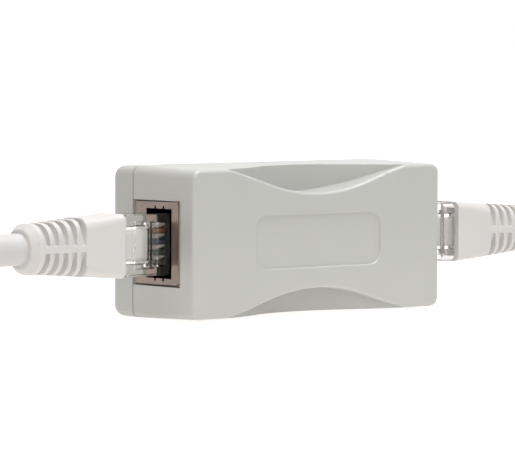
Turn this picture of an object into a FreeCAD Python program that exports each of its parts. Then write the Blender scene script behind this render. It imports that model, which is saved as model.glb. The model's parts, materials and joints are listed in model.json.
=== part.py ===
import FreeCAD, Part
import math
import os
import re

import Sketcher
from FreeCAD import Placement, Rotation, Vector

# Network isolator: an in-line box with a shielded eight-way socket in each end,
# and a short patch lead latched into each socket.
# Millimetres. X runs along the cables, -Y is the front with the label panel, +Z is up.
# The origin is under the middle of the box, on the surface that it lies on.
# Each group of pieces is drawn in a plain frame of its own and then placed:
#   housing frame: X = 0 mid length, Y = 0 front face, Z = 0 mid height
#   socket frame:  x = 0 socket face, x positive outwards, y = z = 0 on the plug's axis
#   plug frame:    x = 0 nose, x positive along the cable, y positive on the latch side

SIZES = {
    # housing
    "face_length": 63.9,
    "face_height": 28.17,
    "front_depth": 17.26,
    "cover_depth": 7.54,
    "draft_angle": 1.45,
    "cover_draft": 1.0,
    "wall_thickness": 1.9,
    "edge_radius": 0.8,
    "corner_radius": 1.8,
    "cover_radius": 3.0,
    # finger scoops in the long edges: the dip of the front edge and the bite into the top
    "dip_depth": 4.9,
    "dip_mid_radius": 42.0,
    "dip_end_radius": 150.0,
    "dip_overshoot": 4.5,
    "bite_depth": 8.3,
    "bite_mid_radius": 24.0,
    "bite_end_radius": 43.0,
    "bite_overshoot": 0.4,
    "lip_radius": 0.7,
    # bare label panel
    "panel_length": 32.2,
    "panel_height": 10.1,
    "panel_corner": 2.8,
    "panel_depth": 0.4,
    "panel_bevel": 0.28,
    # open joint between the shell and the cover
    "reveal_width": 0.22,
    "reveal_depth": 0.6,
    # screws and their bosses
    "screw_inset": 3.785,
    "boss_radius": 2.4,
    "pilot_radius": 1.0,
    "screw_radius": 1.25,
    "screw_length": 10.0,
    "screw_hole_radius": 1.45,
    "screw_head_radius": 2.3,
    "screw_head_height": 1.5,
    "head_recess_depth": 2.2,
    "head_recess_radius": 2.6,
    "head_recess_wall": 0.9,
    "driver_slot_width": 0.6,
    "driver_slot_length": 3.0,
    "driver_slot_depth": 0.8,
    # tabs that line the cover up with the front shell
    "tab_start": 6.0,
    "tab_end_inset": 4.49,
    "tab_thickness": 0.9,
    "tab_reach": 1.5,
    "fit_clearance": 0.12,
    # circuit board
    "board_end_gap": 0.55,
    "board_edge_gap": 0.985,
    "board_thickness": 1.6,
    "post_radius": 1.5,
    "post_end_inset": 4.5,
    "post_edge_inset": 2.6,
    # isolation transformers, one for each pair
    "transformer_count": 4,
    "transformer_spacing": 0.8,
    "transformer_depth": 5.4,
    "transformer_gap": 0.4,
    "transformer_margin": 0.95,
    "transformer_draft": 0.3,
    "transformer_bevel": 0.5,
    "pin_inset": 0.65,
    "pin_width": 0.5,
    "pin_reach": 0.9,
    # chips on the back of the board
    "resistor_count": 8,
    "resistor_margin": 3.35,
    "chip_length": 2.0,
    "chip_width": 1.25,
    "chip_depth": 0.55,
    "cap_length": 0.4,
    "cap_overlap": 0.1,
    "cap_step": 0.06,
    "capacitor_count": 4,
    "capacitor_length": 4.5,
    "capacitor_width": 3.2,
    "capacitor_depth": 1.8,
    "chip_gap": 0.2,
    # sockets
    "axis_depth": 9.9,
    "socket_step": 0.2,
    "shield_length": 15.8,
    "shield_thickness": 12.96,
    "shield_width": 16.02,
    "shield_roof": 5.92,
    "sheet_thickness": 0.25,
    "mouth_width": 13.2,
    "mouth_roof": 3.6,
    "mouth_floor": 3.8,
    "latch_slot_width": 6.8,
    "latch_slot_floor": 5.95,
    "finger_width": 1.9,
    "finger_reach": 3.0,
    "finger_bend": 0.8,
    "finger_relief": 0.5,
    "fold_radius": 0.3,
    "fold_hole_radius": 0.2,
    "fold_hole_inset": 0.4,
    "finger_clearance": 0.06,
    "insert_clearance": 0.06,
    "insert_wall": 0.5,
    "insert_back": 0.9,
    "pocket_clearance": 0.3,
    "pocket_depth": 1.5,
    "cavity_width": 11.92,
    "cavity_thickness": 6.9,
    "cavity_length": 11.2,
    "channel_width": 6.6,
    "ledge_length": 1.4,
    "ledge_gap": 3.9,
    "ledge_height": 4.1,
    "face_setback": 0.3,
    "contact_pitch": 1.02,
    "contact_count": 8,
    "contact_width": 0.4,
    "contact_thickness": 0.3,
    "contact_bend": 3.6,
    "contact_tip": 8.2,
    "contact_touch": 0.08,
    "comb_margin": 0.2,
    "comb_depth": 2.0,
    "tail_inset": 1.15,
    "tail_slot_width": 1.2,
    "tail_hole_radius": 0.36,
    "tail_reach": 1.0,
    # plugs
    "plug_length": 21.46,
    "plug_thickness": 6.6,
    "plug_width": 11.68,
    "left_insertion": 9.9,
    "right_insertion": 10.8,
    "plug_edge": 0.3,
    "plug_bevel": 0.9,
    "blade_slot_width": 0.5,
    "blade_slot_length": 6.1,
    "blade_slot_depth": 2.3,
    "blade_width": 0.32,
    "blade_length": 5.0,
    "blade_start": 0.7,
    "blade_sink": 0.35,
    "blade_height": 1.75,
    "blade_shoulder": 0.5,
    "blade_point": 0.7,
    "crimp_start": 13.9,
    "crimp_length": 4.5,
    "crimp_width": 8.9,
    "crimp_depth": 1.1,
    "bar_start": 10.2,
    "bar_length": 2.6,
    "bar_width": 8.2,
    "bar_depth": 1.2,
    "tunnel_length": 7.4,
    "jacket_width": 7.4,
    "jacket_thickness": 4.0,
    "jacket_corner": 1.6,
    "jacket_clearance": 0.05,
    "jacket_gap": 0.3,
    "wire_radius": 0.46,
    "wire_height": 0.55,
    "wire_start": 1.3,
    "wire_clearance": 0.1,
    "wire_channel_width": 8.4,
    # latch
    "hinge_start": 1.3,
    "hinge_radius": 0.55,
    "hinge_clearance": 0.07,
    "latch_angle": 12.0,
    "latch_length": 14.4,
    "latch_thickness": 0.9,
    "latch_width": 6.0,
    "latch_tab_width": 3.2,
    "latch_grip_radius": 0.55,
    "latch_grip_inset": 0.2,
    "shoulder_reach": 6.75,
    "latch_well_depth": 0.7,
    "latch_well_start": 1.6,
    # boot
    "boot_block_length": 9.4,
    "boot_length": 22.0,
    "boot_width": 12.1,
    "boot_thickness": 8.6,
    "boot_corner": 1.3,
    "boot_waist_width": 10.9,
    "boot_waist_thickness": 8.4,
    "boot_waist_corner": 2.4,
    "boot_collar_start": 18.9,
    "boot_collar_width": 9.5,
    "boot_collar_corner": 4.0,
    "boot_round_length": 1.5,
    "boot_end_width": 7.4,
    "boot_end_corner": 3.5,
    "boot_slot_count": 5,
    "boot_slot_pitch": 2.2,
    "boot_slot_width": 1.15,
    "boot_slot_inset": 0.1,
    "boot_core_width": 7.3,
    "boot_core_corner": 3.3,
    "boot_rib_width": 1.35,
    # cord, hank and the free plug that lies on it
    "cord_radius": 3.0,
    "hank_near": 100.0,
    "hank_run": 57.0,
    "hank_bend_radius": 18.0,
    "hank_upper_start": 136.0,
    "hank_upper_end": 131.0,
    "far_plug_offset": 15.9,
    "tie_width": 3.6,
    "tie_thickness": 0.6,
    "tie_bite": 0.1,
    "tie_place": 148.0,
    # how far a cutter runs past the face that it opens
    "cutter_overrun": 1.0,
}

doc = FreeCAD.newDocument("network_isolator")
sheet = doc.addObject("Spreadsheet::Sheet", "Sizes")
for row, (alias, size) in enumerate(SIZES.items(), 1):
    sheet.set(f"A{row}", alias)
    sheet.set(f"B{row}", str(size))
    sheet.setAlias(f"B{row}", alias)
doc.recompute()

ALIAS = re.compile("[a-z]+(?:_[a-z]+)+")
FRAME_Y = "-(front_depth + cover_depth)/2"
FRAME_Z = "face_height/2 + front_depth*tan(draft_angle)"
BOARD_Y = "axis_depth - shield_roof + shield_thickness"
BACK_Y = "front_depth + cover_depth"
JOINT_LENGTH = "(face_length + 2*front_depth*tan(draft_angle))"
JOINT_HEIGHT = "(face_height + 2*front_depth*tan(draft_angle))"
SOCKET_FACE = "(face_length/2 + socket_step)"
SOCKET_BACK = f"({SOCKET_FACE} - shield_length)"
TAIL_X = f"({SOCKET_BACK} + sheet_thickness + tail_inset)"
SCREW_Z = "(face_height/2 - wall_thickness - screw_inset)"
COVER_BOSS = "(head_recess_radius + head_recess_wall)"
BOARD_LENGTH = "(face_length - 2*wall_thickness - 2*board_end_gap)"
BOARD_HEIGHT = "(face_height - 2*wall_thickness - 2*board_edge_gap)"
TRANSFORMER_PITCH = f"(2*({SOCKET_BACK} - transformer_margin)/transformer_count)"
TRANSFORMER_LENGTH = f"({TRANSFORMER_PITCH} - transformer_spacing)"
TRANSFORMER_HEIGHT = f"(2*({SCREW_Z} - boss_radius - transformer_gap - pin_reach))"
RESISTOR_PITCH = f"(2*({TAIL_X} - resistor_margin)/resistor_count)"
AXIS_Y = f"{FRAME_Y} + axis_depth"
HINGE_Y = "plug_thickness/2"
BLADE_TOP = "-plug_thickness/2 + blade_sink"
INSERT_GAP = "(sheet_thickness + insert_clearance)"
COMB_FLOOR = f"-shield_roof + {INSERT_GAP} + insert_wall"
COMB_WIDTH = "contact_count*contact_pitch + 2*comb_margin"
ABOUT_Y = Rotation(Vector(0, 1, 0), 180)
ABOUT_Z = Rotation(Vector(0, 0, 1), 180)
UP_FROM_Y = Rotation(Vector(1, 0, 0), 90)
AXES = {
    "x": Rotation(Vector(0, 1, 0), 90),
    "y": Rotation(Vector(1, 0, 0), -90),
    "z": Rotation(),
}
nodes = []


# Values and expressions


def express(text):
    """The text with each size's alias read from the sheet."""
    return ALIAS.sub(lambda found: "Sizes." + found.group(), text)


def size(alias):
    return float(sheet.get(alias))


def number(text):
    """The value of a sum written with aliases, its angles in degrees."""
    plain = ALIAS.sub(lambda found: f"({sheet.get(found.group())})", text)
    return float(FreeCAD.Units.Quantity(plain.replace("tan(", "tan(pi/180*")).Value)


def bind(item, **expressions):
    for name, text in expressions.items():
        item.setExpression(name, express(text))
    return item


def place(item, x="0", y="0", z="0", turn=None):
    """Sets a turn, and ties each coordinate of the place to the sheet."""
    item.Placement = Placement(Vector(number(x), number(y), number(z)), turn or Rotation())
    for axis, text in zip("xyz", (x, y, z)):
        if text != "0":
            item.setExpression(f"Placement.Base.{axis}", express(text))
    return item


# Solids


def block(name, length, width, height, x="0", y="0", z="0"):
    """A box from its low corner."""
    item = doc.addObject("Part::Box", name)
    bind(item, Length=length, Width=width, Height=height)
    return place(item, x, y, z)


def middle_block(name, length, width, height, x="0", y="0", z="0"):
    """A box centred on Z and starting at x and y."""
    return block(name, length, width, height, x, y, f"{z} - ({height})/2")


def rod(name, radius, length, x="0", y="0", z="0", axis="z"):
    item = doc.addObject("Part::Cylinder", name)
    bind(item, Radius=radius, Height=length)
    return place(item, x, y, z, AXES[axis])


def fuse(name, *parts, refine=True):
    """One solid; refined, it loses the seams between faces that run on into each other."""
    item = doc.addObject("Part::MultiFuse", name)
    item.Shapes = list(parts)
    item.Refine = refine
    return item


def group(name, parts):
    item = doc.addObject("Part::Compound", name)
    item.Links = list(parts)
    return item


def cut(name, base, *tools):
    item = doc.addObject("Part::Cut", name)
    item.Base = base
    item.Tool = tools[0] if len(tools) == 1 else fuse(name + "_tools", *tools)
    return item


def common(name, base, tool):
    item = doc.addObject("Part::Common", name)
    item.Base = base
    item.Tool = tool
    return item


def flipped(name, source):
    """The mirror image below mid height."""
    item = doc.addObject("Part::Mirroring", name)
    item.Source = source
    item.Normal = Vector(0, 0, 1)
    return item


def body(name):
    return doc.addObject("PartDesign::Body", name)


def sketch(owner, name, role, offset="0"):
    """A sketch on a plane of its body, moved along the plane's normal."""
    plane = next(f for f in owner.Origin.OriginFeatures if f.Role == role)
    item = owner.newObject("Sketcher::SketchObject", name)
    item.AttachmentSupport = (plane, [""])
    item.MapMode = "FlatFace"
    if offset != "0":
        item.setExpression("AttachmentOffset.Base.z", express(offset))
    return item


def name_dimension(item, constraint, name, text):
    item.renameConstraint(item.addConstraint(constraint), name)
    item.setExpression(f"Constraints.{name}", express(text))


def outline(item, points):
    """A closed polygon, its corners tied to the sheet one by one."""
    spots = [(number(u), number(v)) for u, v in points]
    count = len(points)
    for n in range(count):
        start, end = spots[n], spots[(n + 1) % count]
        item.addGeometry(Part.LineSegment(Vector(*start, 0), Vector(*end, 0)))
    for n in range(count):
        item.addConstraint(Sketcher.Constraint("Coincident", n, 2, (n + 1) % count, 1))
    for n, (u, v) in enumerate(points):
        for kind, text, value in (("DistanceX", u, spots[n][0]), ("DistanceY", v, spots[n][1])):
            name = f"{kind}{n}"
            name_dimension(item, Sketcher.Constraint(kind, -1, 1, n, 1, value), name, text)
    return item


def rounded_rectangle(item, wide, tall, corner):
    """A centred rectangle with four equal round corners."""
    half_w, half_t, r = number(wide) / 2, number(tall) / 2, number(corner)
    centres = [
        Vector(half_w - r, half_t - r, 0),
        Vector(r - half_w, half_t - r, 0),
        Vector(r - half_w, r - half_t, 0),
        Vector(half_w - r, r - half_t, 0),
    ]
    for n, centre in enumerate(centres):
        circle = Part.Circle(centre, Vector(0, 0, 1), r)
        item.addGeometry(Part.ArcOfCircle(circle, n * math.pi / 2, (n + 1) * math.pi / 2))
    for n in range(4):
        ends = item.Geometry[n].EndPoint, item.Geometry[(n + 1) % 4].StartPoint
        item.addGeometry(Part.LineSegment(*ends))
    for n in range(4):
        item.addConstraint(Sketcher.Constraint("Tangent", n, 2, 4 + n, 1))
        item.addConstraint(Sketcher.Constraint("Tangent", 4 + n, 2, (n + 1) % 4, 1))
        if n:
            item.addConstraint(Sketcher.Constraint("Equal", 0, n))
    item.addConstraint(Sketcher.Constraint("Horizontal", 4))
    item.addConstraint(Sketcher.Constraint("Vertical", 5))
    item.addConstraint(Sketcher.Constraint("Symmetric", 0, 3, 2, 3, -1, 1))
    name_dimension(item, Sketcher.Constraint("Radius", 0, r), "corner", corner)
    across = Sketcher.Constraint("DistanceX", 5, 1, 7, 1, 2 * half_w)
    name_dimension(item, across, "wide", wide)
    up = Sketcher.Constraint("DistanceY", 6, 1, 4, 1, 2 * half_t)
    name_dimension(item, up, "tall", tall)
    return item


def pad(owner, name, profile, length, back=False, middle=False, taper=None):
    item = owner.newObject("PartDesign::Pad", name)
    item.Profile = profile
    item.Reversed = back
    item.SideType = "Symmetric" if middle else "One side"
    bind(item, Length=length)
    if taper:
        bind(item, TaperAngle=taper)
    return item


def dress(owner, kind, name, dimension, text, chosen):
    """A fillet or chamfer on the edges of the body's tip that the test picks."""
    doc.recompute()
    base = owner.Tip
    picked = [f"Edge{n}" for n, edge in enumerate(base.Shape.Edges, 1) if chosen(edge)]
    item = owner.newObject(f"PartDesign::{kind}", name)
    item.Base = (base, picked)
    item.setExpression(dimension, express(text))
    return item


def near(value, wanted):
    return abs(value - wanted) < 1e-4


def plate(name, points, thickness, plane="XY_Plane"):
    """A flat profile padded to both sides of its plane."""
    owner = body(name)
    profile = outline(sketch(owner, name + "_profile", plane), points)
    pad(owner, name + "_pad", profile, thickness, middle=True)
    return owner


def copies(name, master, count, pitch, axis):
    """Equal copies of a piece in a centred row along one axis."""
    row = []
    for n in range(int(size(count))):
        item = group(f"{name}_{n + 1}", [master])
        step = f"({n} - ({count} - 1)/2)*{pitch}"
        item.setExpression(f"Placement.Base.{axis}", express(step))
        row.append(item)
    return row


def node(label, item):
    """Keeps a finished sub-part under the name of its file."""
    item.Label = label
    nodes.append(item)
    return item


def in_housing(label, item):
    place(item, "0", FRAME_Y, FRAME_Z)
    return node(label, item)


# Housing


def scoop_curve(item, depth, mid_radius, end_radius, overshoot, level, sign, far):
    """One S-shaped dip: a mid arc between two end arcs, closed on its far side.

    The end arcs top out past the level by the overshoot, so the dip crosses the
    level at a small angle."""
    mid, end = size(mid_radius), size(end_radius)
    drop = size(depth) + size(overshoot)
    apex = number(level) + sign * size(overshoot)
    turn = math.acos(1 - drop / (mid + end))
    reach = (mid + end) * math.sin(turn)
    bottom = apex - sign * drop
    centre = Vector(0, bottom + sign * mid, 0)
    ends = [Vector(side * reach, apex - sign * end, 0) for side in (-1, 1)]
    joins = [centre + (spot - centre) * (mid / (mid + end)) for spot in ends]
    tops = [Vector(side * reach, apex, 0) for side in (-1, 1)]
    mids = [
        spot + Vector(-side * math.sin(turn / 2), sign * math.cos(turn / 2), 0) * end
        for side, spot in zip((-1, 1), ends)
    ]
    low = Vector(0, bottom, 0)
    high = [Vector(spot.x, number(far), 0) for spot in tops]
    edges = [
        Part.Arc(tops[0], mids[0], joins[0]),
        Part.Arc(joins[0], low, joins[1]),
        Part.Arc(joins[1], mids[1], tops[1]),
        Part.LineSegment(tops[1], high[1]),
        Part.LineSegment(high[1], high[0]),
        Part.LineSegment(high[0], tops[0]),
    ]
    item.Shape = Part.Face(Part.Wire([edge.toShape() for edge in edges]))
    return item


def prism(name, face, direction, length):
    item = doc.addObject("Part::Extrusion", name)
    item.Base = face
    item.DirMode = "Custom"
    item.Dir = direction
    item.Solid = True
    return bind(item, LengthFwd=length)


def make_scoops():
    """The upper scoop's cutter, and the same without its rounded lip."""
    dip = ("dip_depth", "dip_mid_radius", "dip_end_radius", "dip_overshoot")
    bite = ("bite_depth", "bite_mid_radius", "bite_end_radius", "bite_overshoot")
    above = doc.addObject("Part::Feature", "dip_face")
    scoop_curve(above, *dip, "face_height/2", 1, "face_height")
    place(above, "0", "-cutter_overrun", "0", UP_FROM_Y)
    over = prism("dip_prism", above, Vector(0, 1, 0), "bite_depth + 4*cutter_overrun")
    before = doc.addObject("Part::Feature", "bite_face")
    scoop_curve(before, *bite, "0", -1, "-edge_radius - cutter_overrun")
    front = prism("bite_prism", before, Vector(0, 0, 1), "face_height")
    bitten = common("scoop_bite", over, front)
    below = doc.addObject("Part::Feature", "lip_face")
    scoop_curve(below, *dip, "face_height/2", 1, "0")
    below.Placement = Placement(Vector(), UP_FROM_Y)
    under = prism("lip_prism", below, Vector(0, 1, 0), "4*lip_radius")
    doc.recompute()
    curves = [
        (n, size("lip_radius"), size("lip_radius"))
        for n, edge in enumerate(under.Shape.Edges, 1)
        if edge.Curve.TypeId == "Part::GeomCircle" and near(edge.BoundBox.YMax, 0)
    ]
    rounded = doc.addObject("Part::Fillet", "lip_rounded")
    rounded.Base = under
    rounded.Edges = curves
    slab = block(
        "lip_slab", "1.8*(dip_mid_radius + dip_end_radius)*sqrt(2*dip_depth/(dip_mid_radius"
        " + dip_end_radius))", "lip_radius + cutter_overrun", "face_height",
        "-0.9*(dip_mid_radius + dip_end_radius)*sqrt(2*dip_depth/(dip_mid_radius"
        " + dip_end_radius))", "-cutter_overrun", "face_height/2 - dip_depth - 2*lip_radius",
    )
    lip = cut("lip_cutter", slab, rounded)
    return fuse("scoop_cutter", bitten, lip), bitten


def make_front_shell():
    outer = body("shell_outer")
    face = sketch(outer, "shell_face", "XZ_Plane")
    outline(face, corners("face_length", "face_height"))
    pad(outer, "shell_block", face, "front_depth", back=True, taper="draft_angle")
    depth = size("front_depth")
    sides = lambda edge: edge.BoundBox.YLength > depth / 2
    dress(outer, "Fillet", "shell_corners", "Radius", "corner_radius", sides)
    front = lambda edge: edge.BoundBox.YMax < size("edge_radius") / 2
    dress(outer, "Fillet", "shell_edges", "Radius", "edge_radius", front)
    panel = sketch(outer, "panel_outline", "XZ_Plane")
    rounded_rectangle(panel, "panel_length", "panel_height", "panel_corner")
    pocket = outer.newObject("PartDesign::Pocket", "panel_recess")
    pocket.Profile = panel
    bind(pocket, Length="panel_depth")
    half = size("panel_length") / 2 + size("edge_radius") / 2
    rim = lambda e: near(e.BoundBox.YMax, 0) and max(-e.BoundBox.XMin, e.BoundBox.XMax) < half
    dress(outer, "Chamfer", "panel_rim", "Size", "panel_bevel", rim)

    inner = body("shell_inner")
    mouth = sketch(inner, "cavity_face", "XZ_Plane", "-wall_thickness")
    outline(mouth, corners("face_length - 2*wall_thickness", "face_height - 2*wall_thickness"))
    inside = "front_depth - wall_thickness"
    pad(inner, "cavity_block", mouth, inside, back=True, taper="draft_angle")

    cutter, bitten = make_scoops()
    backing = group("scoop_backing", [bitten])
    place(backing, "0", "wall_thickness", "-wall_thickness")
    cavity = cut("shell_cavity", inner, backing, flipped("lower_backing", backing))
    slots = [
        middle_block(
            f"socket_slot_{side}",
            "3*wall_thickness",
            "front_depth - axis_depth + shield_roof + fit_clearance",
            "shield_width + 2*fit_clearance",
            start,
            "axis_depth - shield_roof - fit_clearance",
        )
        for side, start in (
            ("left", "-face_length/2 - wall_thickness"),
            ("right", "face_length/2 - 2*wall_thickness"),
        )
    ]
    hollow = cut("shell_hollow", outer, cutter, flipped("lower_scoop", cutter), cavity, *slots)
    bosses = []
    for sign, name in (("", "upper"), ("-", "lower")):
        post = rod(
            f"{name}_boss", "boss_radius", f"{BOARD_Y} - bite_depth - wall_thickness/2",
            "0", "bite_depth + wall_thickness/2", sign + SCREW_Z, "y",
        )
        pilot = rod(
            f"{name}_pilot", "pilot_radius", f"{BOARD_Y} - bite_depth - wall_thickness",
            "0", "bite_depth + wall_thickness", sign + SCREW_Z, "y",
        )
        bosses.append((post, pilot))
    solid = fuse("shell_with_bosses", hollow, *[post for post, _ in bosses])
    return cut("front_shell", solid, *[pilot for _, pilot in bosses])


def corners(wide, tall):
    """The corners of a centred rectangle, as expressions."""
    return [
        (f"{u}({wide})/2", f"{v}({tall})/2")
        for u, v in (("-", "-"), ("", "-"), ("", ""), ("-", ""))
    ]


def make_rear_cover():
    outer = body("cover_outer")
    joint = sketch(outer, "cover_joint", "XZ_Plane", "-front_depth")
    outline(joint, corners(JOINT_LENGTH, JOINT_HEIGHT))
    pad(outer, "cover_block", joint, "cover_depth", back=True, taper="-cover_draft")
    start, depth = size("front_depth"), size("cover_depth")
    back = lambda e: e.BoundBox.YMin > start + depth / 2
    dress(outer, "Fillet", "cover_back_edges", "Radius", "cover_radius", back)
    sides = lambda e: e.BoundBox.YMin < start + depth / 4 and e.BoundBox.YLength > depth / 3
    dress(outer, "Fillet", "cover_corners", "Radius", "corner_radius", sides)

    inner = body("cover_inner")
    mouth = sketch(inner, "cover_mouth", "XZ_Plane", "-front_depth")
    inside = [f"{extent} - 2*wall_thickness" for extent in (JOINT_LENGTH, JOINT_HEIGHT)]
    outline(mouth, corners(*inside))
    pad(inner, "cover_cavity", mouth, "cover_depth - wall_thickness", back=True, taper="-cover_draft")
    hollow = cut("cover_hollow", outer, inner, make_reveal())

    floor = f"{BACK_Y} - wall_thickness/2"
    under_board = f"{BOARD_Y} + board_thickness"
    added, holes = [], []
    for sign, name in (("", "upper"), ("-", "lower")):
        added.append(rod(
            f"cover_{name}_boss", COVER_BOSS,
            f"{floor} - ({under_board})", "0", under_board, sign + SCREW_Z, "y",
        ))
        holes.append(rod(
            f"cover_{name}_hole", "screw_hole_radius", "cover_depth + 2*cutter_overrun",
            "0", "front_depth - cutter_overrun", sign + SCREW_Z, "y",
        ))
        holes.append(rod(
            f"cover_{name}_recess", "head_recess_radius", "head_recess_depth + cutter_overrun",
            "0", f"{BACK_Y} - head_recess_depth", sign + SCREW_Z, "y",
        ))
        for side, across in (("left", "-"), ("right", "")):
            added.append(rod(
                f"cover_{name}_{side}_post", "post_radius", f"{floor} - ({under_board})",
                f"{across}({BOARD_LENGTH}/2 - post_end_inset)", under_board,
                f"{sign}({BOARD_HEIGHT}/2 - post_edge_inset)", "y",
            ))
    solid = fuse("cover_with_bosses", hollow, *added, *make_tabs(), refine=False)
    return cut("rear_cover", solid, *holes)


def make_reveal():
    """The band that leaves an open joint all round the cover's rim."""
    band = body("reveal_band")
    around = [f"{extent} + 2*cutter_overrun" for extent in (JOINT_LENGTH, JOINT_HEIGHT)]
    outer = sketch(band, "reveal_outside", "XZ_Plane", "-front_depth")
    outline(outer, corners(*around))
    pad(band, "reveal_slab", outer, "reveal_width", back=True)
    core = sketch(band, "reveal_inside", "XZ_Plane", "-front_depth")
    kept = [f"{extent} - 2*reveal_depth" for extent in (JOINT_LENGTH, JOINT_HEIGHT)]
    rounded_rectangle(core, *kept, "corner_radius - reveal_depth")
    hole = band.newObject("PartDesign::Pocket", "reveal_hole")
    hole.Profile = core
    hole.Type = "ThroughAll"
    hole.SideType = "Symmetric"
    return band


def make_tabs():
    """Four tabs inside the long walls, each rooted in its wall and reaching past the joint."""
    length = f"({JOINT_LENGTH}/2 - wall_thickness - tab_end_inset - tab_start)"
    wall = f"{JOINT_HEIGHT}/2 - wall_thickness"
    outside = f"{wall} - fit_clearance"
    inside = f"{outside} - tab_thickness"
    step = [
        ("front_depth - tab_reach", inside),
        ("front_depth + tab_reach", inside),
        ("front_depth + tab_reach", f"{wall} + fit_clearance"),
        ("front_depth", f"{wall} + fit_clearance"),
        ("front_depth", outside),
        ("front_depth - tab_reach", outside),
    ]
    section = plate("cover_tab", step, length, "YZ_Plane")
    tabs = []
    for side, sign in (("left", "-"), ("right", "")):
        tab = group(f"cover_upper_{side}_tab", [section])
        bind(tab, **{"Placement.Base.x": f"{sign}(tab_start + {length}/2)"})
        tabs += [tab, flipped(f"cover_lower_{side}_tab", tab)]
    return tabs


def make_screws():
    """Two pan-head screws, driven from the back into the front shell's bosses."""
    seat = f"{BACK_Y} - head_recess_depth"
    shank = rod("screw_shank", "screw_radius", "screw_length", "0", f"{seat} - screw_length", "0", "y")
    head = rod("screw_head", "screw_head_radius", "screw_head_height", "0", seat, "0", "y")
    slot_floor = f"{seat} + screw_head_height - driver_slot_depth"
    slot_depth = "driver_slot_depth + cutter_overrun"
    slots = [
        middle_block(
            "driver_slot_across", "driver_slot_length", slot_depth, "driver_slot_width",
            "-driver_slot_length/2", slot_floor,
        ),
        middle_block(
            "driver_slot_up", "driver_slot_width", slot_depth, "driver_slot_length",
            "-driver_slot_width/2", slot_floor,
        ),
    ]
    screw = cut("cover_screw", fuse("screw_solid", shank, head), *slots)
    pair = []
    for sign, name in (("", "upper"), ("-", "lower")):
        item = group(f"{name}_screw", [screw])
        bind(item, **{"Placement.Base.z": sign + SCREW_Z})
        pair.append(item)
    return group("cover_screws", pair)


def make_board():
    base = block(
        "board_blank", BOARD_LENGTH, "board_thickness", BOARD_HEIGHT,
        f"-{BOARD_LENGTH}/2", BOARD_Y, f"-{BOARD_HEIGHT}/2",
    )
    depth = "board_thickness + 2*cutter_overrun"
    start = f"{BOARD_Y} - cutter_overrun"
    holes = []
    for sign, name in (("", "upper"), ("-", "lower")):
        height = sign + SCREW_Z
        hole = f"board_{name}_screw_hole"
        holes.append(rod(hole, "screw_hole_radius", depth, "0", start, height, "y"))
    for side, sign in (("left", "-"), ("right", "")):
        for n in range(int(size("contact_count"))):
            height = f"({n} - (contact_count - 1)/2)*contact_pitch"
            hole = f"board_{side}_tail_hole_{n + 1}"
            holes.append(rod(hole, "tail_hole_radius", depth, sign + TAIL_X, start, height, "y"))
    return cut("circuit_board", base, *holes)


def make_transformer():
    """One pair's transformer: a moulded case on six bent pins."""
    top = f"{BOARD_Y} - transformer_depth"
    case = body("transformer_case")
    profile = sketch(case, "transformer_section", "XY_Plane")
    half = f"{TRANSFORMER_LENGTH}/2"
    shoulder = f"{half} - transformer_draft"
    crown = f"{shoulder} - transformer_bevel"
    foot = f"{BOARD_Y} - pin_width"
    outline(profile, [
        (f"-{half}", foot),
        (f"-({shoulder})", f"{top} + transformer_bevel"),
        (f"-({crown})", top),
        (crown, top),
        (shoulder, f"{top} + transformer_bevel"),
        (half, foot),
    ])
    pad(case, "transformer_block", profile, TRANSFORMER_HEIGHT, middle=True)
    pin_across = f"({half} - pin_inset)"
    pins = []
    for sign, name in (("", "upper"), ("-", "lower")):
        root = f"{TRANSFORMER_HEIGHT}/2 - pin_reach"
        for n, across in enumerate((f"-{pin_across}", "0", pin_across)):
            low = root if not sign else f"-({root}) - 2*pin_reach"
            pins.append(block(
                f"transformer_{name}_pin_{n + 1}", "pin_width", "pin_width",
                "2*pin_reach", f"{across} - pin_width/2", foot, low,
            ))
    return fuse("transformer_master", case, *pins)


def make_chip(name, length, width, depth):
    """A chip part on the back of the board, with its two end caps as steps."""
    back = f"{BOARD_Y} + board_thickness"
    between = f"{length} - 2*cap_length + 2*cap_overlap"
    core = block(f"{name}_core", between, width, f"{depth} - cap_step", f"-({between})/2")
    caps = [
        block(f"{name}_{side}_cap", "cap_length", width, depth, start)
        for side, start in (("left", f"-{length}/2"), ("right", f"{length}/2 - cap_length"))
    ]
    item = fuse(name, core, *caps)
    place(item, "0", back, f"{width}/2", Rotation(Vector(1, 0, 0), -90))
    return item


def chip_row(label, master, count, pitch, height):
    row = copies(label + "_chip", master, count, pitch, "x")
    for item in row:
        bind(item, **{"Placement.Base.z": height})
    return in_housing(label, group(label, row))


# Sockets


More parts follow.
